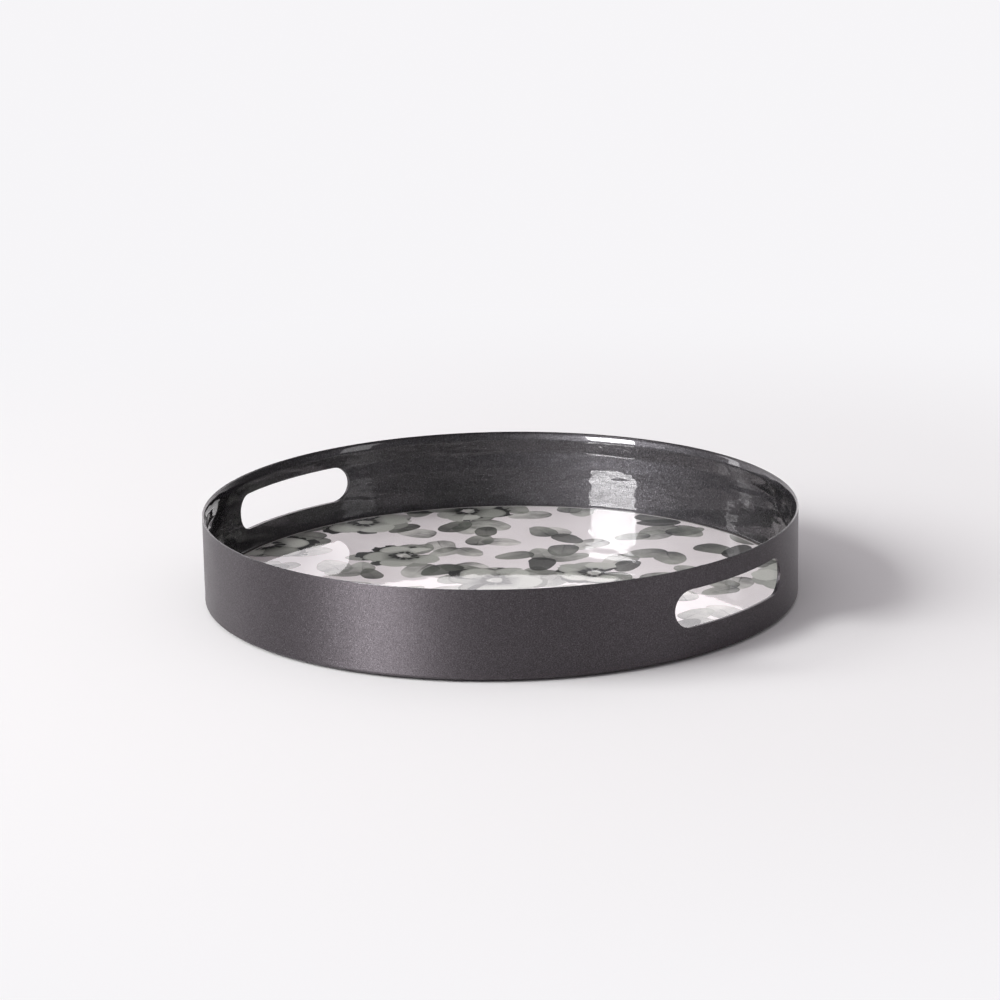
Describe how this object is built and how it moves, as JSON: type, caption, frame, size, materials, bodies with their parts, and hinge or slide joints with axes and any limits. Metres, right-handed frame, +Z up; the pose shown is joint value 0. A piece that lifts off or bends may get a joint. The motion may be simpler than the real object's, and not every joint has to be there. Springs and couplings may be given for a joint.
{
  "type": "serving tray",
  "caption": "Round serving tray with an upright sheet-metal wall, hand slots and a glossy leaf-patterned floor.",
  "frame": {"origin": "on the table, under the middle of the tray", "axes": "+Z up, the two hand slots on the X axis, the wall's closing seam at +Y"},
  "size_m": [0.38, 0.38, 0.0577],
  "materials": {
    "powder_coat": "satin metallic grey with a fine sparkle",
    "gloss_lining": "high gloss charcoal with a fine fleck",
    "board": "matt dark-stained fibreboard",
    "print": "printed with grey-green leaves on an off-white ground",
    "resin": "clear high gloss",
    "pad": "matt"
  },
  "bodies": {
    "root": {"side_wall": "powder_coat", "wall_seam": "powder_coat", "wall_lining": "gloss_lining", "base_board": "board", "floor_print": "print", "floor_resin": "resin", "pad_back_right": "pad", "pad_back_left": "pad", "pad_front_left": "pad", "pad_front_right": "pad"}
  },
  "joints": []
}
